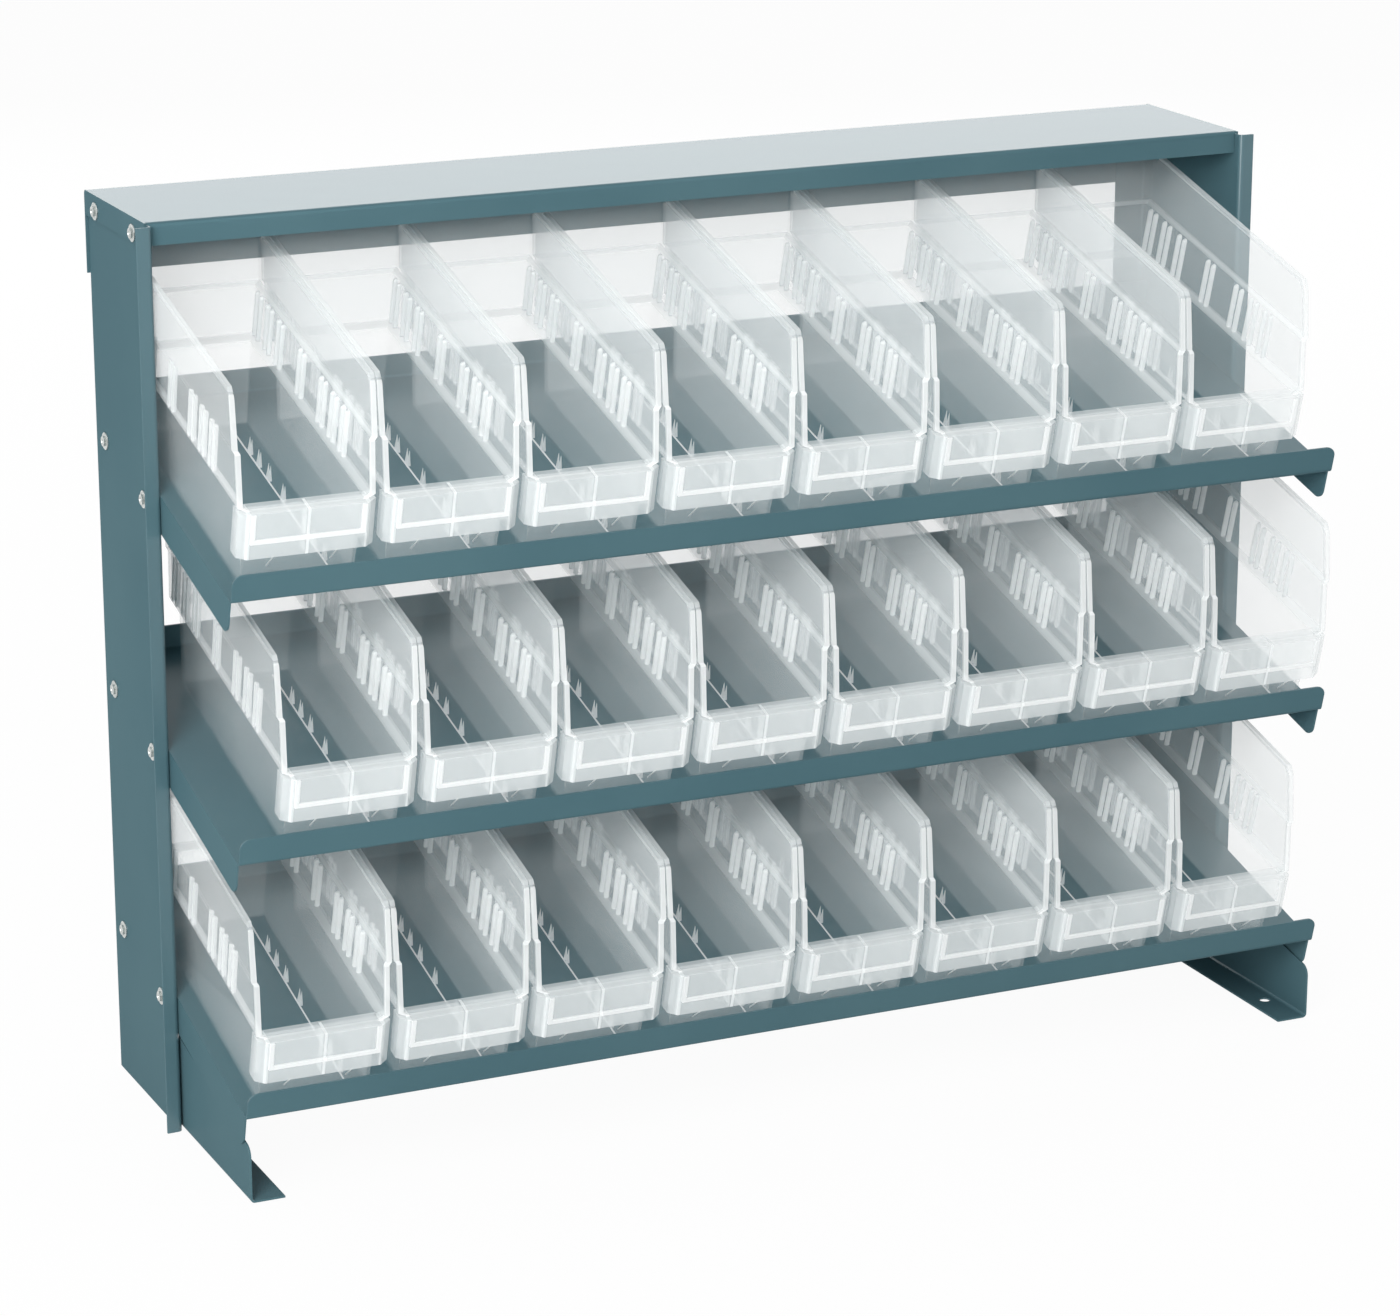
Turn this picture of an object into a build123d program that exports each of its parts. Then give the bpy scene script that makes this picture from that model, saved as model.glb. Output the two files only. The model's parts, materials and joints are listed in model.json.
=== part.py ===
# Sloped-shelf bench rack with clear plastic shelf bins.
# Millimetres. X runs along the rack to the right, Y from front to back, Z up.
# The folded steel frame carries three shelves that slope down to the front,
# and each shelf holds a row of eight lift-out bins behind its front lip.

import os
from math import cos, radians, sin, tan

from build123d import *

# Steel frame
rack_width = 914.4
upright_depth = 152.4
sheet = 1.5
bend_radius = 2.0
fit_gap = 0.3

# Bins, as wide as the frame lets a row of them be
bins_per_row = 8
bin_pitch = rack_width / bins_per_row - 4.3
bin_width = bin_pitch - 0.7
bin_length = 280.0
bin_height = 152.4
bin_wall = 1.8
bin_floor = 2.0
bin_gap = 0.3

# Steps in a bin's side walls, from the floor up
floor_width = bin_width - 23.3
lower_tier_width = bin_width - 17.8
lower_tier_height = 68.0
middle_base_width = bin_width - 6.1
middle_top_width = bin_width - 4.9
middle_tier_height = lower_tier_height + 40.0
upper_base_width = bin_width - 1.0
tier_rise = 2.5

# Ends and edges of a bin
floor_length = bin_length - 47.0
rear_lean = 10.0
rear_step = 7.0
rim_width = 4.0
rim_depth = 3.0
cheek_reach = 9.8
lower_edge_lean = 11.0
upper_edge_lean = 14.0
corner_cut = 5.4

# Label box on the front of a bin
hopper_depth = 15.0
hopper_base = 31.5
panel_width = bin_width - 19.7
card_width = panel_width - 3.0
card_height = 23.5
card_base = 12.5
card_lip = 3.5
card_lip_height = 1.5

# Notch in each side wall of a bin, at the rear of its top edge
notch_width = 10.0
notch_depth = 12.0
notch_setback = 3.0

# Rows from the lowest up: first bin from the left web, and the setback behind the lip
row_names = ("lower", "middle", "upper")
row_start = (3.0, 28.5, 2.2)
row_setback = (11.0, 12.5, 16.5)

# Sloped shelves, spaced by the bins' height
shelf_slope = 15.0
shelf_reach = 152.8
lowest_shelf_height = 66.9
over_bins = 43.9
shelf_pitch = bin_height + over_bins
behind_shelf = 7.2
shelf_length = (shelf_reach + upright_depth - sheet - behind_shelf) / cos(radians(shelf_slope))
front_lip = 21.5
rear_lip = 19.0
lip_corner = 8.0
side_flange = 28.6
flange_front_setback = 4.0
flange_rear_setback = 12.0
flange_corner = 9.0

# Uprights
over_top_row = 47.2
rack_height = lowest_shelf_height + len(row_names) * shelf_pitch + over_top_row
front_flange = 10.8
rear_flange = 28.0
relief = 4.0

# Top shelf
top_setback = 9.0
top_lip = 17.0
end_flange = 19.0
top_rear_flange = 63.5

# Feet
foot_reach = 152.0
foot_front_height = 43.0
foot_slope = 11.2
foot_corner = 9.0
foot_flange = 27.0
upstand_front = 20.0
upstand_drop = 6.0
bench_hole_radius = 4.4
bench_hole_inset = 12.0
bench_hole_spacing = 214.0

# Fasteners, in two columns on each web, with flats for their round parts
bolt_radius = 3.0
bolt_hole_radius = 3.3
flats_per_bolt = 8
bolt_head_radius = 6.8
bolt_crown_radius = 3.6
bolt_head_height = 3.2
flats_per_head = 16
nut_across_flats = 11.0
nut_height = 5.4
nut_bore_radius = 3.05
bolt_end = 1.5
bolt_columns = (36.8, upright_depth - 25.5)
bolt_drop = 19.0
top_bolt_drop = 12.0

half_width = rack_width / 2
inner_half = half_width - sheet


def save(shape, name):
    shape.label = name
    export_step(shape, f"parts/{name}.step")


def folded(points, radii, side):
    """Section of a folded sheet: one face follows the points, the sheet lies to the given side."""
    path = FilletPolyline(*points, radius=radii)
    return make_face(offset(path, amount=sheet, side=side).edges())


def shelf_plane(row):
    """Plane on a shelf's upper face: x along the rack, y up the slope, z off the shelf."""
    slope = radians(shelf_slope)
    height = lowest_shelf_height + row * shelf_pitch
    return Plane(origin=(0, -shelf_reach, height), x_dir=(1, 0, 0), z_dir=(0, -sin(slope), cos(slope)))


def under_lowest_shelf(y, drop):
    """Height at a depth y, a distance square below the lowest shelf's upper face."""
    slope = radians(shelf_slope)
    return lowest_shelf_height + (y + shelf_reach) * tan(slope) - drop / cos(slope)


def bolt_marks():
    """Distances up the slope of the two bolts at each end of a shelf."""
    slope = radians(shelf_slope)
    return [(y + shelf_reach - bolt_drop * sin(slope)) / cos(slope) for y in bolt_columns]


def bolt_places():
    """Y, Z, cover outside the web and grip inside it, for every bolt of one upright."""
    places = []
    for row in range(len(row_names)):
        for along in bolt_marks():
            point = shelf_plane(row).from_local_coords(Vector(0, along, -bolt_drop))
            grip = 3 * sheet if row == 0 else 2 * sheet
            places.append((point.Y, point.Z, 0.0, grip))
    for y in bolt_columns:
        places.append((y, rack_height - top_bolt_drop, sheet, sheet))
    return places


def bolt_hole(reach):
    """Cutter along X for a bolt's clearance hole, reaching as far to either side."""
    flats = RegularPolygon(bolt_hole_radius, flats_per_bolt, major_radius=False)
    return Rot(0, 90, 0) * extrude(flats, reach, both=True)


def drilled(shape):
    """Clearance holes for the bolts, through whatever sheets lie near the left web."""
    for y, z, _, _ in bolt_places():
        shape -= Pos(-half_width, y, z) * bolt_hole(6 * sheet)
    return shape


def mirrored(shape):
    return mirror(shape, about=Plane.YZ)


def make_upright():
    """Left upright: a web with a flange turned out in front and one turned in behind."""
    inner_face = -inner_half
    back = upright_depth - sheet
    points = [
        (-half_width - front_flange, 0),
        (inner_face, 0),
        (inner_face, back),
        (-half_width + rear_flange, back),
    ]
    section = folded(points, [bend_radius + sheet, bend_radius], Side.LEFT)
    upright = extrude(section, rack_height - sheet)
    corner = Pos(-half_width, upright_depth - sheet - bend_radius, rack_height - sheet - relief)
    above = (Align.CENTER, Align.MIN, Align.MIN)
    upright -= corner * Box(4 * rear_flange, upright_depth, 2 * relief, align=above)
    return drilled(upright)


def make_top_shelf():
    """Top: a flat sheet with a front lip, a deep rear flange and end flanges outside the webs."""
    back = upright_depth + sheet
    points = [
        (top_setback, rack_height - top_lip),
        (top_setback, rack_height),
        (back, rack_height),
        (back, rack_height - top_rear_flange),
    ]
    section = Plane.YZ * folded(points, [bend_radius + sheet] * 2, Side.RIGHT)
    top = extrude(section, half_width + sheet, both=True)
    below = rack_height - sheet
    for side in (-1, 1):
        outward = (Align.MIN if side > 0 else Align.MAX, Align.MIN, Align.MAX)
        lip_end = Pos(side * (inner_half - fit_gap), 0, below)
        top -= lip_end * Box(4 * sheet, top_setback + 4 * sheet, 2 * top_lip, align=outward)
        end_place = Pos(side * half_width, top_setback, rack_height)
        top += end_place * Box(sheet, upright_depth - top_setback, end_flange, align=outward)
    for y, z, cover, _ in bolt_places():
        if cover:
            top -= Pos(0, y, z) * bolt_hole(rack_width)
    return top


def make_shelf(row):
    """Sloped shelf: a pan with lips front and back, and side flanges turned down for the bolts."""
    points = [
        (sheet, front_lip),
        (sheet, 0),
        (shelf_length - sheet, 0),
        (shelf_length - sheet, rear_lip),
    ]
    section = Plane.YZ * folded(points, [bend_radius] * 2, Side.RIGHT)
    pan = extrude(section, inner_half, both=True)
    blank = Rectangle(2 * inner_half, 4 * front_lip, align=(Align.CENTER, Align.MAX))
    blank = Pos(0, front_lip) * fillet(blank.vertices().group_by(Axis.Y)[-1], lip_corner)
    pan &= extrude(Plane.XZ * blank, -shelf_length)
    run = shelf_length - flange_front_setback - flange_rear_setback
    side = Rectangle(run, side_flange, align=(Align.MIN, Align.MAX))
    side = Pos(flange_front_setback, 0) * fillet(side.vertices().group_by(Axis.Y)[0], flange_corner)
    for hand in (-1, 1):
        flange = extrude(Plane.YZ * side, -hand * sheet)
        pan += Pos(hand * inner_half, 0, 0) * flange
    for along in bolt_marks():
        pan -= Pos(0, along, -bolt_drop) * bolt_hole(rack_width)
    return shelf_plane(row).location * pan


def make_foot():
    """Left foot: an upright plate that reaches forward, with a flange turned in on the bench."""
    face = -inner_half + sheet
    back = upright_depth - sheet - fit_gap
    top = under_lowest_shelf(back, upstand_drop)
    section = folded([(face, 2 * top), (face, 0), (face + foot_flange, 0)], [bend_radius + sheet], Side.LEFT)
    blank = extrude(Plane.XZ * section, -(foot_reach + back))
    blank = Pos(0, -foot_reach, 0) * blank
    knee = foot_front_height + (foot_reach + upstand_front) * tan(radians(foot_slope))
    outline = Polyline(
        (-foot_reach, 0),
        (-foot_reach, foot_front_height),
        (upstand_front, knee),
        (upstand_front, under_lowest_shelf(upstand_front, upstand_drop)),
        (back, top),
        (back, 0),
        close=True,
    )
    side = make_face(outline)
    corner = side.vertices().sort_by_distance((-foot_reach, foot_front_height, 0))[0]
    side = fillet(corner, foot_corner)
    foot = blank & extrude(Plane.YZ * side, rack_width, both=True)
    for y in (-bench_hole_spacing / 2, bench_hole_spacing / 2):
        foot -= Pos(face + bench_hole_inset, y, 0) * Cylinder(bench_hole_radius, 4 * sheet)
    return drilled(foot)


def make_bolt(cover, grip):
    """Round-headed bolt pointing along +X from the web's outer face."""
    rim_height = bolt_head_height / 3
    rim = Pos(0, 0, rim_height) * RegularPolygon(bolt_head_radius, flats_per_head)
    top = Pos(0, 0, bolt_head_height) * RegularPolygon(bolt_crown_radius, flats_per_head)
    head = extrude(rim, -rim_height) + loft([rim, top])
    shank = extrude(RegularPolygon(bolt_radius, flats_per_bolt), -(cover + grip + nut_height + bolt_end))
    return Pos(-cover, 0, 0) * Rot(0, -90, 0) * (head + shank)


def make_nut(grip):
    """Hexagon nut on the inside of the sheets that the bolt clamps."""
    hexagon = RegularPolygon(nut_across_flats / 2, 6, major_radius=False)
    hexagon -= RegularPolygon(nut_bore_radius, flats_per_bolt, major_radius=False)
    return Pos(grip, 0, 0) * Rot(0, 90, 0) * extrude(hexagon, nut_height)


def make_fasteners():
    """The left upright's bolts and nuts, each kind as a group of separate solids."""
    bolts = []
    nuts = []
    for y, z, cover, grip in bolt_places():
        place = Pos(-half_width, y, z)
        bolts.append(place * make_bolt(cover, grip))
        nuts.append(place * make_nut(grip))
    return Compound(bolts), Compound(nuts)


def tier_outline(inset):
    """Stepped cross-section of a bin, seen from the front, drawn inside its walls by the inset."""
    half_steps = [
        (floor_width / 2, 0),
        (lower_tier_width / 2, lower_tier_height),
        (middle_base_width / 2, lower_tier_height + tier_rise),
        (middle_top_width / 2, middle_tier_height),
        (upper_base_width / 2, middle_tier_height + tier_rise),
        (bin_width / 2, bin_height),
        (bin_width / 2, 2 * bin_height),
    ]
    right = [(x - inset, z) for x, z in half_steps]
    left = [(-x, z) for x, z in reversed(right)]
    return make_face(Polyline(*right, *left, close=True))


def rear_profile(inset, base, top):
    """Back of a bin from the side: it leans at the bottom, steps out, then leans to the top."""
    back = bin_length - hopper_depth
    foot = floor_length - inset
    return [
        (foot, base),
        (foot + rear_lean, lower_tier_height),
        (foot + rear_lean + rear_step, lower_tier_height + tier_rise),
        (back - inset, top),
    ]


def front_profile(inset):
    """Front edge of a side wall from its top corner down to the label box, set back by the inset."""
    low = inset - cheek_reach
    step = low + lower_edge_lean
    corner = step + upper_edge_lean
    return [
        (corner + corner_cut, bin_height - inset),
        (corner, bin_height - corner_cut - inset),
        (step, middle_tier_height),
        (low, lower_tier_height),
    ]


def solid_within(inset, side_points):
    """Bin cross-section drawn in by the inset, cut to an outline seen from the side."""
    length = extrude(Plane.XZ * tier_outline(inset), 2 * bin_length, both=True)
    return length & extrude(Plane.YZ * make_face(Polyline(*side_points, close=True)), bin_width, both=True)


def make_tub():
    """Bin walls and floor with a rim along the side walls' edges, open above the low front wall."""
    under_ledge = lower_tier_height - bin_wall
    shell = solid_within(0, [
        *rear_profile(0, 0, bin_height),
        *front_profile(0),
        (-cheek_reach, under_ledge),
        (0, under_ledge),
        (0, 0),
    ])
    hollow = solid_within(bin_wall, [
        *rear_profile(bin_wall, bin_floor, bin_height - rim_depth),
        *front_profile(rim_depth),
        (bin_wall, lower_tier_height),
        (bin_wall, bin_floor),
    ])
    mouth = solid_within(rim_width, [
        *rear_profile(bin_wall, bin_floor, bin_height),
        (bin_length - hopper_depth - bin_wall, 2 * bin_height),
        (-bin_length, 2 * bin_height),
        (-bin_length, lower_tier_height),
        (bin_wall, lower_tier_height),
        (bin_wall, bin_floor),
    ])
    return shell - hollow - mouth


def hopper_plan(inset):
    """Plan of the label box in front of the low wall, its cheeks drawn in to the panel."""
    cheek = middle_base_width / 2 - inset
    panel = panel_width / 2 - inset / 2
    corner = cheek_reach - inset / 2
    back = 0 if inset else bin_wall
    right = [(cheek, back), (cheek, -corner), (panel, inset - hopper_depth)]
    left = [(-x, y) for x, y in reversed(right)]
    return make_face(Polyline(*right, *left, close=True))


def make_hopper():
    """Label box: a front panel, two cheeks, a top ledge and a centre rib, open underneath."""
    box_height = lower_tier_height - hopper_base
    box = extrude(hopper_plan(0), box_height) - extrude(hopper_plan(bin_wall), box_height - bin_wall)
    box += Box(bin_wall, hopper_depth, box_height, align=(Align.CENTER, Align.MAX, Align.MIN))
    return Pos(0, 0, hopper_base) * box


def make_card_lip():
    """Raised U on the label panel that holds a card from the sides and below."""
    outer = Rectangle(card_width, card_height, align=(Align.CENTER, Align.MIN))
    card = Rectangle(card_width - 2 * card_lip, card_height, align=(Align.CENTER, Align.MIN))
    lip = extrude(Plane.XZ * (outer - Pos(0, card_lip) * card), card_lip_height)
    return Pos(0, -hopper_depth, hopper_base + card_base) * lip


def make_bin():
    """Bin with its origin at the middle of the floor's front edge."""
    rear = bin_length - hopper_depth - notch_setback
    notch = Polyline(
        (rear - notch_width, bin_height),
        (rear - notch_width / 2, bin_height - notch_depth),
        (rear, bin_height),
        close=True,
    )
    cut = extrude(Plane.YZ * make_face(notch), bin_width, both=True)
    return make_tub() + make_hopper() + make_card_lip() - cut


def place_bin(shape, row, column):
    """A bin set on its shelf, its floor just above the sheet."""
    x = -half_width + row_start[row] + bin_width / 2 + column * bin_pitch
    return shelf_plane(row).location * Pos(x, sheet + row_setback[row], bin_gap) * shape


def make_frame():
    """Every steel piece by name."""
    upright = make_upright()
    foot = make_foot()
    bolts, nuts = make_fasteners()
    pieces = {
        "left_upright": upright,
        "right_upright": mirrored(upright),
        "top_shelf": make_top_shelf(),
        "left_foot": foot,
        "right_foot": mirrored(foot),
        "left_bolts": bolts,
        "right_bolts": mirrored(bolts),
        "left_nuts": nuts,
        "right_nuts": mirrored(nuts),
    }
    for row, name in enumerate(row_names):
        pieces[f"{name}_shelf"] = make_shelf(row)
    return pieces


def make_bins():
    """Three rows of bins by name, counted from the left."""
    shape = make_bin()
    bins = {}
    for row, name in enumerate(row_names):
        for column in range(bins_per_row):
            bins[f"{name}_bin_{column + 1}"] = place_bin(shape, row, column)
    return bins


def main():
    os.makedirs("parts", exist_ok=True)
    pieces = make_frame() | make_bins()
    box = Compound([*pieces.values()]).bounding_box()
    centred = Pos(-box.center().X, -box.center().Y, -box.min.Z)
    for name, shape in pieces.items():
        save(centred * shape, name)
    print(f"{len(pieces)} pieces, {box.size.X:.1f} x {box.size.Y:.1f} x {box.size.Z:.1f} mm")


main()
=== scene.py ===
import json
from math import cos, pi, radians, sin

import bmesh
import bpy
from mathutils import Euler, Matrix, Vector


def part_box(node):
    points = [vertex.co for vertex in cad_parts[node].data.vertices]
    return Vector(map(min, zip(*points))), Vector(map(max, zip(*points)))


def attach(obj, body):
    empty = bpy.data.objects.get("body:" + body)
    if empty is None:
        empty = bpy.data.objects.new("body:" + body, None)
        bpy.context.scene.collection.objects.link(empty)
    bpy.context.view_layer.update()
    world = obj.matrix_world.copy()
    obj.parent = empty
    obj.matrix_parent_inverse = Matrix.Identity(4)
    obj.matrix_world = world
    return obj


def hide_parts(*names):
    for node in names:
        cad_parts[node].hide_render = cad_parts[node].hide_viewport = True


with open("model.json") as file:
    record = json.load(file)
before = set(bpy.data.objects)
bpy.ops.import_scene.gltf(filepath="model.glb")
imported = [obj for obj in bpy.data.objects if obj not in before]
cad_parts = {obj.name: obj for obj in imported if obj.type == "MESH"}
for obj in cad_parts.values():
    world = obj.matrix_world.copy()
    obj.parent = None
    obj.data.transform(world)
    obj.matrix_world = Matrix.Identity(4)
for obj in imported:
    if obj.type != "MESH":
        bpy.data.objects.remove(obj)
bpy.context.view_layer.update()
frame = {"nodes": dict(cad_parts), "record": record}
print("frame loaded")

rowNames = ("lower", "middle", "upper")
binsPerRow = 8


# Shader sums are written as plain arithmetic on sockets
class Signal:
    def __init__(self, tree, socket):
        self.tree = tree
        self.socket = socket

    def node(self, kind, settings=None, inputs=None, output=0):
        made = self.tree.nodes.new(kind)
        for key, value in (settings or {}).items():
            setattr(made, key, value)
        for key, value in (inputs or {}).items():
            if isinstance(value, Signal):
                self.tree.links.new(value.socket, made.inputs[key])
            else:
                made.inputs[key].default_value = value
        return Signal(self.tree, made.outputs[output])

    def maths(self, operation, first, second):
        return self.node("ShaderNodeMath", {"operation": operation}, {0: first, 1: second})

    def __add__(self, other):
        return self.maths("ADD", self, other)

    def __sub__(self, other):
        return self.maths("SUBTRACT", self, other)

    def __rsub__(self, other):
        return self.maths("SUBTRACT", other, self)

    def __mul__(self, other):
        return self.maths("MULTIPLY", self, other)

    __radd__ = __add__
    __rmul__ = __mul__

    def most(self, other):
        return self.maths("MAXIMUM", self, other)

    def least(self, other):
        return self.maths("MINIMUM", self, other)

    def past(self, edge, blur):  # 0 below the edge, 1 above it
        ends = {"Value": self, "From Min": edge - blur / 2, "From Max": edge + blur / 2}
        return self.node("ShaderNodeMapRange", {"interpolation_type": "SMOOTHSTEP"}, ends)

    def axes(self):
        split = self.tree.nodes.new("ShaderNodeSeparateXYZ")
        self.tree.links.new(self.socket, split.inputs[0])
        return [Signal(self.tree, out) for out in split.outputs]

    def noise(self, scale, detail):
        return self.node("ShaderNodeTexNoise", None, {"Vector": self, "Scale": scale, "Detail": detail})

    def bump(self, strength, distance):
        return self.node("ShaderNodeBump", None, {
            "Height": self, "Strength": strength, "Distance": distance})

    def blend(self, first, second):  # self is the share of the second colour
        return self.node("ShaderNodeMix", {"data_type": "RGBA"}, {0: self, 6: first, 7: second}, 2)


def bandAt(value, centre, width):
    blur = width / 4
    return value.past(centre - width / 2, blur) * (centre + width / 2 - value).past(0, blur)


def rays(tree, *kinds):
    paths = tree.nodes.new("ShaderNodeLightPath")
    return [Signal(tree, paths.outputs[f"Is {kind} Ray"]) for kind in kinds]


def newFinish(name, fixed):
    material = bpy.data.materials.new(name)
    material.use_nodes = True
    tree = material.node_tree
    shader = tree.nodes["Principled BSDF"]
    for key, value in fixed.items():
        shader.inputs[key].default_value = value
    places = tree.nodes.new("ShaderNodeTexCoord")
    where = {key: Signal(tree, places.outputs[key]) for key in ("Object", "Generated", "Normal")}
    return material, shader, where


def feed(shader, **signals):
    for key, signal in signals.items():
        shader.id_data.links.new(signal.socket, shader.inputs[key])


# Grey-blue powder coat on every folded sheet; each From or Above is an edge and its blur
paint = {
    "fixed": {"Specular IOR Level": 0.006, "Coat Roughness": 0.26},
    "colour": (0.074, 0.150, 0.177, 1),
    "drift": (0.090, 0.172, 0.198, 1),
    "driftScale": 5.0,
    "driftFrom": (0.5, 0.5),
    "driftRough": 0.08,
    "peelScale": 700.0,
    "peelRough": 0.1,
    "peelStrength": 0.08,
    "peelDepth": 0.0003,
    "roughness": 0.38,
    "paintedLevelSheen": 0.62,
    "levelFrom": (0.85, 0.2),
    "levelAbove": (0.06, 0.01),
    "flangeFrom": (0.4575 ** 2, 0.0004),
    "frontFrom": (0.9, 0.1),
    "bendFrom": (0.06, 0.04),
}


def makePaint():
    material, shader, where = newFinish("steelPaint", paint["fixed"])
    drift = where["Object"].noise(paint["driftScale"], 3.0)
    peel = where["Object"].noise(paint["peelScale"], 2.0)
    sideways, rearward, upward = where["Normal"].axes()
    across, _, height = where["Object"].axes()
    # painted sheen: the same powder coat gets a gloss coat on the shelves' upper faces, on bends and on
    # the narrow front flanges, so these faces catch more light
    level = upward.past(*paint["levelFrom"]) * height.past(*paint["levelAbove"])
    flange = (across * across).past(*paint["flangeFrom"]) * (0 - rearward).past(*paint["frontFrom"])
    bend, turn = sideways * rearward, sideways * upward
    bends = (bend * bend + turn * turn).past(*paint["bendFrom"])
    evenRough = paint["roughness"] - (paint["peelRough"] + paint["driftRough"]) / 2
    feed(shader, **{
        "Coat Weight": (level * paint["paintedLevelSheen"] + flange).most(bends),
        "Base Color": drift.past(*paint["driftFrom"]).blend(paint["colour"], paint["drift"]),
        "Roughness": peel * paint["peelRough"] + drift * paint["driftRough"] + evenRough,
        "Normal": peel.bump(paint["peelStrength"], paint["peelDepth"]),
    })
    return material


# Bright zinc plate on the screws and nuts
zinc = {
    "fixed": {"Metallic": 1.0},
    "colour": (0.72, 0.74, 0.72, 1),
    "dull": (0.5, 0.53, 0.52, 1),
    "dullFrom": (0.5, 0.4),
    "mottleScale": 420.0,
    "mottleRough": 0.2,
    "roughness": 0.18,
}


def makeZinc():
    material, shader, where = newFinish("zincPlate", zinc["fixed"])
    mottle = where["Object"].noise(zinc["mottleScale"], 3.0)
    feed(shader, **{
        "Base Color": mottle.past(*zinc["dullFrom"]).blend(zinc["colour"], zinc["dull"]),
        "Roughness": mottle * zinc["mottleRough"] + zinc["roughness"],
    })
    return material


# The bin's own measures, in metres, as the part has them
binShape = {
    "slope": radians(15),
    "reach": 0.1528,
    "lowestShelf": 0.0669,
    "shelfPitch": 0.1963,
    "sheet": 0.0015,
    "gap": 0.0003,
    "setback": (0.011, 0.0125, 0.0165),
    "height": 0.1524,
    "rimDepth": 0.003,
    "lowerTier": 0.068,
    "middleTier": 0.108,
    "cheekReach": 0.0098,
    "lowerLean": 0.011,
    "upperLean": 0.014,
    "hopper": 0.015,
    "floor": 0.002,
    "panelEdge": 0.0448,
}


def binName(row, column):
    return f"{rowNames[row]}_bin_{column + 1}"


def binPlace(row, column):
    low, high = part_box(binName(row, column))
    along = binShape["sheet"] + binShape["setback"][row]
    slope = binShape["slope"]
    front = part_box("left_upright")[0][1] - binShape["reach"]
    place = Vector((
        (low[0] + high[0]) / 2,
        front + along * cos(slope) - binShape["gap"] * sin(slope),
        binShape["lowestShelf"] + row * binShape["shelfPitch"] + along * sin(slope)
        + binShape["gap"] * cos(slope),
    ))
    return Matrix.Translation(place) @ Matrix.Rotation(slope, 4, "X")


def binAxes(generated):  # across the bin, along its floor from the low front wall, and off the floor
    low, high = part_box(binName(0, 0))
    start = binPlace(0, 0).translation
    acrossBox, overBox, upBox = generated.axes()
    y = overBox * (high[1] - low[1]) + (low[1] - start.y)
    z = upBox * (high[2] - low[2]) + (low[2] - start.z)
    slope = binShape["slope"]
    return ((acrossBox - 0.5) * (high[0] - low[0]),
            y * cos(slope) + z * sin(slope), z * cos(slope) - y * sin(slope))


# Where the plastic's cover changes: widths and blurs, in metres (square metres for the corner)
zones = {
    "soft": 0.001,
    "crisp": 0.0008,
    "edgeWidth": 0.0025,
    "deepBlur": 0.016,
    "lipStart": 0.0002,
    "lipBlur": 0.0003,
    "cornerWidth": 0.00026,
    "stepWidth": 0.003,
    "ledgeDepth": 0.0005,
    "ledgeBlur": 0.0006,
    "skinDepth": 0.0012,
    "skinBlur": 0.0004,
    "webWidth": 0.0022,
    "rearFrom": (0.262, 0.004),
}


def zoneMasks(across, along, off):
    soft, crisp, stepWidth = zones["soft"], zones["crisp"], zones["stepWidth"]
    lower, middle, hopper = binShape["lowerTier"], binShape["middleTier"], binShape["hopper"]
    ahead = 0 - along
    lowLine = (off - lower) * (binShape["lowerLean"] / (middle - lower)) - binShape["cheekReach"]
    highLean = binShape["upperLean"] / (binShape["height"] - middle)
    front = lowLine.most((off - middle) * highLean + (binShape["lowerLean"] - binShape["cheekReach"]))
    labelBox = ahead.past(0.0, soft) * (lower + soft - off).past(0, soft)
    ledge = labelBox * off.past(lower - zones["ledgeDepth"], zones["ledgeBlur"])
    skin = ledge.most(ahead.past(hopper - zones["skinDepth"], zones["skinBlur"]))
    return {
        "rim": off.past(binShape["height"] - binShape["rimDepth"], crisp),
        # a painted highlight: the band along the walls' front edges is whiter and denser
        "edge": (front + zones["edgeWidth"] - along).past(0, crisp) * off.past(lower, soft),
        "labelBox": labelBox,
        "deep": (lower - off).past(0, zones["deepBlur"]) * along.past(0, soft),
        "cardLip": ahead.past(hopper + zones["lipStart"], zones["lipBlur"]),
        "corner": labelBox * bandAt(across * across, binShape["panelEdge"] ** 2, zones["cornerWidth"]),
        "step": bandAt(off, lower + soft, stepWidth).most(bandAt(off, middle + soft, stepWidth)),
        "web": labelBox * skin * bandAt(across, 0.0, zones["webWidth"]),
        "ledge": ledge,
        "rear": along.past(*zones["rearFrom"]),
        "floor": (binShape["floor"] + soft - off).past(0, soft),
    }


# Clear plastic with a frosted look; the cover says how much each zone adds to the wall's or takes from it
plastic = {
    "fixed": {"IOR": 1.49},
    "colour": (0.92, 0.965, 0.97, 1),
    "white": (0.96, 0.985, 0.985, 1),
    "roughness": 0.28,
    "frostScale": 16.0,
    "frostRough": 0.08,
    "frostCover": 0.06,
    "wall": 0.24,
    "densest": 0.97,
    "shadow": 0.08,
    "cover": {
        "rim": 0.14,
        # the front edges' extra cover is a painted highlight
        "edge": 0.36,
        "labelBox": 0.05,
        "deep": -0.09,
        "cardLip": 0.5,
        "corner": 0.26,
        "step": 0.14,
        "web": 0.5,
        "ledge": -0.12,
        "rear": -0.16,
        "floor": -0.13,
    },
}


def makePlastic():
    material, shader, where = newFinish("clearPlastic", plastic["fixed"])
    frost = where["Object"].noise(plastic["frostScale"], 2.0)
    masks = zoneMasks(*binAxes(where["Generated"]))
    alpha = frost * plastic["frostCover"] + (plastic["wall"] - plastic["frostCover"] / 2)
    for key, mask in masks.items():
        alpha = alpha + mask * plastic["cover"][key]
    feed(shader, **{
        # the whiter colour along the front edges is a painted highlight; the card lip takes the same
        # colour
        "Base Color": masks["edge"].most(masks["cardLip"]).blend(plastic["colour"], plastic["white"]),
        "Roughness": frost * plastic["frostRough"] + plastic["roughness"],
        "Alpha": alpha.least(plastic["densest"]) * scattered(material.node_tree),
    })
    return material


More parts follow.
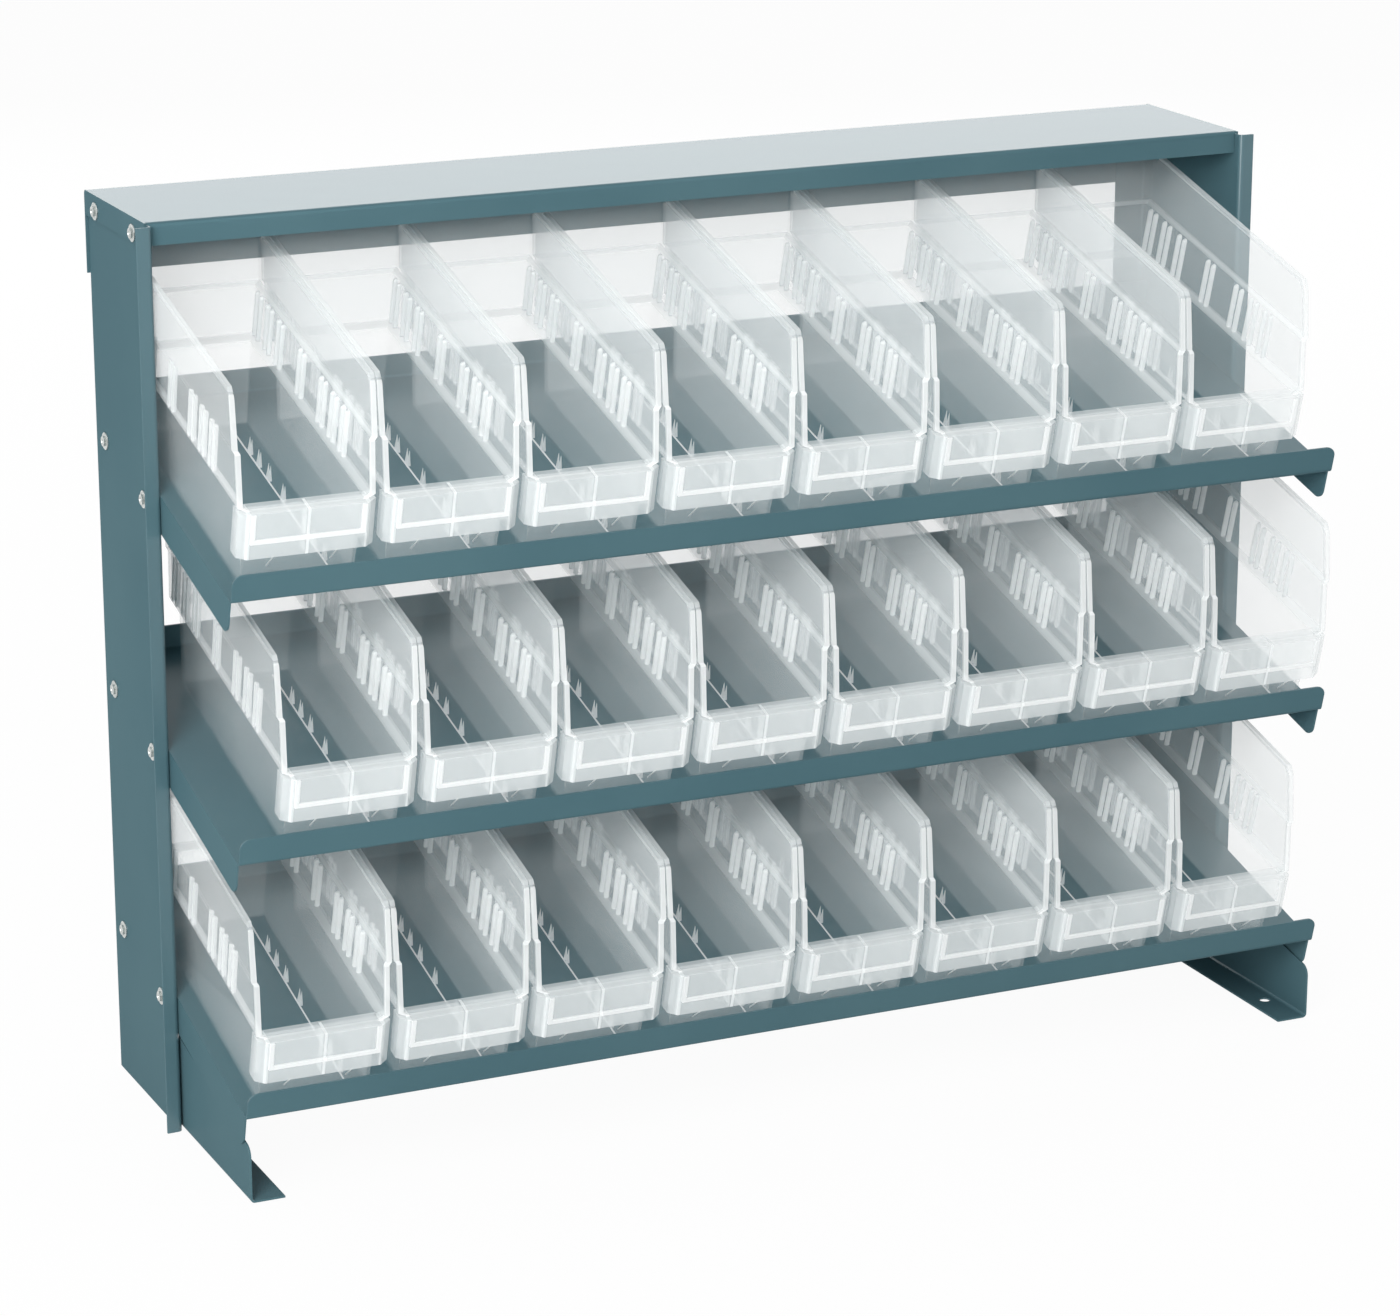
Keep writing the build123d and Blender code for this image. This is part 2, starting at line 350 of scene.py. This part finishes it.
def scattered(tree):  # frosted plastic passes light on, so it shades little
    shadowRay, diffuseRay = rays(tree, "Shadow", "Diffuse")
    return 1 - shadowRay.most(diffuseRay) * (1 - plastic["shadow"])


# The same plastic where it stands in ribs
ribPlastic = {
    "roughness": 0.26,
    "frostScale": 90.0,
    "frostFrom": (0.5, 0.6),
    "frostRough": 0.1,
    "frostCover": 0.1,
    "wall": 0.48,
}


def makeRibPlastic():
    material, shader, where = newFinish("ribPlastic", plastic["fixed"])
    frost = where["Object"].noise(ribPlastic["frostScale"], 3.0)
    cover = frost * ribPlastic["frostCover"] + ribPlastic["wall"]
    feed(shader, **{
        "Base Color": frost.past(*ribPlastic["frostFrom"]).blend(plastic["white"], plastic["colour"]),
        "Roughness": frost * ribPlastic["frostRough"] + ribPlastic["roughness"],
        "Alpha": cover * scattered(material.node_tree),
    })
    return material


finishes = {"steel": makePaint(), "zinc": makeZinc(), "plastic": makePlastic(), "rib": makeRibPlastic()}
print("finishes made")


def meshPiece(name, build, finish, body, place=Matrix.Identity(4)):
    form = bmesh.new()
    build(form)
    bmesh.ops.recalc_face_normals(form, faces=form.faces)
    mesh = bpy.data.meshes.new(name)
    form.to_mesh(mesh)
    form.free()
    mesh.materials.append(finishes[finish])
    return settle(name, mesh, body, place)


def settle(name, mesh, body, place):
    piece = bpy.data.objects.new(name, mesh)
    bpy.context.scene.collection.objects.link(piece)
    piece.matrix_world = place
    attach(piece, body)
    return piece


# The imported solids: their finish, and slightly softened edges where a width is given
edges = {
    "width": {"steel": 0.0007, "plastic": 0.0005},
    "segments": 2,
    "angle": radians(30),
    "weld": 0.00001,
}


def dressSolids():
    for record in frame["record"]["subparts"]:
        name, slot = record["node"], record["material_slot"]
        solid = frame["nodes"][name]
        for materialSlot in solid.material_slots:
            materialSlot.material = finishes[slot]
        if slot in edges["width"]:
            weld = solid.modifiers.new("weld", "WELD")
            weld.merge_threshold = edges["weld"]
            bevel = solid.modifiers.new("edges", "BEVEL")
            bevel.width = edges["width"][slot]
            bevel.segments = edges["segments"]
            bevel.limit_method = "ANGLE"
            bevel.angle_limit = edges["angle"]


dressSolids()
print("solids dressed")


# Ribs inside each bin: slot pairs for dividers on both walls, a finned bead on the floor's right,
# and two struts under the label box
ribs = {
    "pairs": (0.0550, 0.0770, 0.1010, 0.1465, 0.1940, 0.2185, 0.2420),
    "spread": 0.0043,
    "width": 0.0042,
    "rise": 0.0034,
    "foot": 0.0680,
    "top": 0.1068,
    "wallLow": 0.0502,
    "wallHigh": 0.0508,
    "facets": 6,
    "endStep": 0.3,
    "endRise": 0.71,
    "endWidth": 0.02,
    "fins": (0.0240, 0.0460, 0.0680, 0.1130, 0.1450, 0.1670, 0.1870),
    "finSpread": 0.0022,
    "finThick": 0.0009,
    "finForm": ((0.0278, 0.0020), (0.0310, 0.0020), (0.0294, 0.0150)),
    "beadLength": 0.2250,
    "beadMiddle": 0.1165,
    "beadForm": ((0.0278, 0.0020), (0.0281, 0.0026), (0.0289, 0.0026), (0.0292, 0.0020)),
    "struts": (-0.0240, 0.0240),
    "strutThick": 0.0007,
    "strutForm": ((0.0, 0.0172), (0.0, 0.0160), (-0.0132, 0.0315), (-0.0124, 0.0315)),
}


def wallAt(off):
    lean = (ribs["wallHigh"] - ribs["wallLow"]) / (ribs["top"] - ribs["foot"])
    return ribs["wallLow"] + lean * (off - ribs["foot"])


def addBar(form, along, side):  # half round, with rounded ends
    low, high, facets = ribs["foot"], ribs["top"], ribs["facets"]
    radius = ribs["width"] / 2
    step = radius * ribs["endStep"]
    stations = [(low, 0.0), (low + step, ribs["endRise"]), (low + radius, 1.0),
                (high - radius, 1.0), (high - step, ribs["endRise"]), (high, 0.0)]
    rings = []
    for off, share in stations:
        reach = radius * max(share, ribs["endWidth"])
        ring = []
        for k in range(facets + 1):
            turn = pi * k / facets
            across = wallAt(off) - ribs["rise"] * sin(turn) * share
            ring.append(form.verts.new((side * across, along + reach * cos(turn), off)))
        rings.append(ring)
    for below, above in zip(rings, rings[1:]):
        for k in range(facets):
            form.faces.new((below[k], below[k + 1], above[k + 1], above[k]))
    for ring in (rings[0], rings[-1]):
        form.faces.new(ring)
    form.faces.new([ring[0] for ring in rings] + [ring[-1] for ring in reversed(rings)])


def addPlate(form, outline, thickness, centre, turned=False):  # outline in x, z, or in y, z when turned
    sides = []
    for deep in (centre - thickness / 2, centre + thickness / 2):
        sides.append([form.verts.new((deep, k, z) if turned else (k, deep, z)) for k, z in outline])
    form.faces.new(sides[0])
    form.faces.new(sides[1])
    for k in range(len(outline)):
        after = (k + 1) % len(outline)
        form.faces.new((sides[0][k], sides[0][after], sides[1][after], sides[1][k]))


def buildRibs(form):
    for side in (-1, 1):
        for along in ribs["pairs"]:
            for shift in (-ribs["spread"], ribs["spread"]):
                addBar(form, along + shift, side)
    for along in ribs["fins"]:
        for shift in (-ribs["finSpread"], ribs["finSpread"]):
            addPlate(form, ribs["finForm"], ribs["finThick"], along + shift)
    addPlate(form, ribs["beadForm"], ribs["beadLength"], ribs["beadMiddle"])
    for across in ribs["struts"]:
        addPlate(form, ribs["strutForm"], ribs["strutThick"], across, turned=True)


def makeRibs():
    shared = None
    for row in range(len(rowNames)):
        for column in range(binsPerRow):
            body = binName(row, column)
            name = f"{body}_ribs"
            if shared is None:
                shared = meshPiece(name, buildRibs, "rib", body, binPlace(row, column)).data
            else:
                settle(name, shared, body, binPlace(row, column))


makeRibs()
print("bin ribs made")


# Washer-head screws in place of the plain bolts
screw = {
    "shankRadius": 0.0029,
    "shankBevel": 0.0004,
    "headHeight": 0.0032,
    "headForm": (  # height off the seat, radius, and sides where it isn't round
        (0.0000, 0.0066, 0),
        (0.0003, 0.0068, 0),
        (0.0010, 0.0067, 0),
        (0.0013, 0.0063, 0),
        (0.0013, 0.0058, 0),
        (0.0007, 0.0050, 0),
        (0.0009, 0.0044, 6),
        (0.0026, 0.0044, 6),
        (0.0030, 0.0038, 6),
        (0.0032, 0.0030, 0),
        (0.0031, 0.0020, 0),
        (0.0026, 0.0018, 0),
    ),
    "hexTurn": 0.3,
    "points": 36,
    "apart": 0.02,
}


def boltPlaces(node):
    solid = frame["nodes"][node]
    outer = -1 if node.startswith("left") else 1
    clusters = []
    for vertex in solid.data.vertices:
        point = vertex.co
        for cluster in clusters:
            if (cluster[0].yz - point.yz).length < screw["apart"]:
                cluster.append(point.copy())
                break
        else:
            clusters.append([point.copy()])
    spots = []
    for cluster in clusters:
        spots.append((
            min(p.x * outer for p in cluster), max(p.x * outer for p in cluster),
            (min(p.y for p in cluster) + max(p.y for p in cluster)) / 2,
            (min(p.z for p in cluster) + max(p.z for p in cluster)) / 2,
        ))
    return outer, spots


def addLathe(form, profile, place):
    points = screw["points"]
    rings = []
    for x, radius, sides in profile:
        ring = []
        for k in range(points):
            turn = 2 * pi * k / points
            reach = radius
            if sides:
                wedge = 2 * pi / sides
                reach = radius * cos(wedge / 2) / cos((turn + screw["hexTurn"]) % wedge - wedge / 2)
            ring.append(form.verts.new(place @ Vector((x, reach * cos(turn), reach * sin(turn)))))
        rings.append(ring)
    for inner, outer in zip(rings, rings[1:]):
        for k in range(points):
            after = (k + 1) % points
            form.faces.new((inner[k], inner[after], outer[after], outer[k]))
    form.faces.new(rings[0])
    form.faces.new(rings[-1])


def screwProfile(inside, outside):
    shank, bevel = screw["shankRadius"], screw["shankBevel"]
    seat = outside - screw["headHeight"]
    profile = [(inside, shank - bevel, 0), (inside + bevel, shank, 0), (seat, shank, 0)]
    return profile + [(seat + height, radius, sides) for height, radius, sides in screw["headForm"]]


def makeScrews():
    for node in ("left_bolts", "right_bolts"):
        outer, spots = boltPlaces(node)

        def build(form):
            for inside, outside, y, z in spots:
                place = Matrix.Translation((0, y, z)) @ Matrix.Scale(outer, 4, (1, 0, 0))
                addLathe(form, screwProfile(inside, outside), place)

        piece = meshPiece(node.replace("bolts", "screws"), build, "zinc", "frame")
        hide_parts(node)


makeScrews()
print("screws made")


# Plain white studio
studio = {
    "floorSize": 30.0,
    "floorFinish": {"Base Color": (0.9, 0.9, 0.9, 1), "Roughness": 0.8},
    "floorGlow": 0.95,
    "ambient": 0.52,
    "white": (1, 1, 1, 1),
    "aim": (0, 0, 0.35),
    "lamps": (
        ("keyLamp", (-2.3, -2.4, 1.9), (1.5, 1.5), 74.0),
        ("topLamp", (-1.4, -1.4, 3.0), (1.4, 1.4), 14.0),
        ("backLamp", (1.4, 3.6, 1.9), (5.0, 2.4), 60.0),
    ),
}


def seenRays(tree):  # 1 for the rays that look at the background, 0 for those that light the part
    camera, glossy, through = rays(tree, "Camera", "Glossy", "Transmission")
    return camera.most(glossy).most(through)


def makeFloor():
    bpy.ops.mesh.primitive_plane_add(size=studio["floorSize"])
    floor = bpy.context.object
    floor.name = "studioFloor"
    material, shader, _ = newFinish("floorWhite", studio["floorFinish"])
    tree = material.node_tree
    seen = seenRays(tree)
    glow = seen.node("ShaderNodeEmission", None, {"Color": studio["white"], "Strength": 1.0})
    share = seen.node("ShaderNodeMixShader", None, {0: seen * studio["floorGlow"]})
    mixer = share.socket.node
    tree.links.new(shader.outputs[0], mixer.inputs[1])
    tree.links.new(glow.socket, mixer.inputs[2])
    tree.links.new(share.socket, tree.nodes["Material Output"].inputs["Surface"])
    floor.data.materials.append(material)


def makeLamps():
    for name, place, size, power in studio["lamps"]:
        lamp = bpy.data.lights.new(name, "AREA")
        lamp.shape = "RECTANGLE"
        lamp.size, lamp.size_y = size
        lamp.energy = power
        holder = bpy.data.objects.new(name, lamp)
        bpy.context.scene.collection.objects.link(holder)
        holder.location = place
        aim = Vector(studio["aim"]) - Vector(place)
        holder.rotation_euler = aim.to_track_quat("-Z", "Y").to_euler()


def makeSky():
    world = bpy.data.worlds.new("studioSky")
    bpy.context.scene.world = world
    world.use_nodes = True
    tree = world.node_tree
    tree.nodes.clear()
    strength = seenRays(tree) * (1 - studio["ambient"]) + studio["ambient"]
    sky = strength.node("ShaderNodeBackground", None, {"Color": studio["white"], "Strength": strength})
    out = tree.nodes.new("ShaderNodeOutputWorld")
    tree.links.new(sky.socket, out.inputs["Surface"])


makeFloor()
makeLamps()
makeSky()
print("studio lit")


# Camera fitted to the photograph's corners
view = {
    "lens": 115.998,
    "sensor": 36,
    "clipEnd": 60,
    "place": (-1.4358, -3.0628, 1.3360),
    "yaw": 24.724,
    "pitch": -16.659,
    "roll": 0.042,
}


def makeCamera():
    camera = bpy.data.cameras.new("photoCamera")
    camera.lens = view["lens"]
    camera.sensor_width = view["sensor"]
    camera.clip_end = view["clipEnd"]
    holder = bpy.data.objects.new("photoCamera", camera)
    bpy.context.scene.collection.objects.link(holder)
    turn = Euler((radians(90 + view["pitch"]), 0, radians(-view["yaw"]))).to_matrix().to_4x4()
    holder.matrix_world = (Matrix.Translation(view["place"]) @ turn
                           @ Matrix.Rotation(radians(view["roll"]), 4, "Z"))
    bpy.context.scene.camera = holder


makeCamera()
bpy.context.scene.view_settings.view_transform = "Standard"
bpy.context.scene.cycles.transparent_max_bounces = 48
print("scene ready")
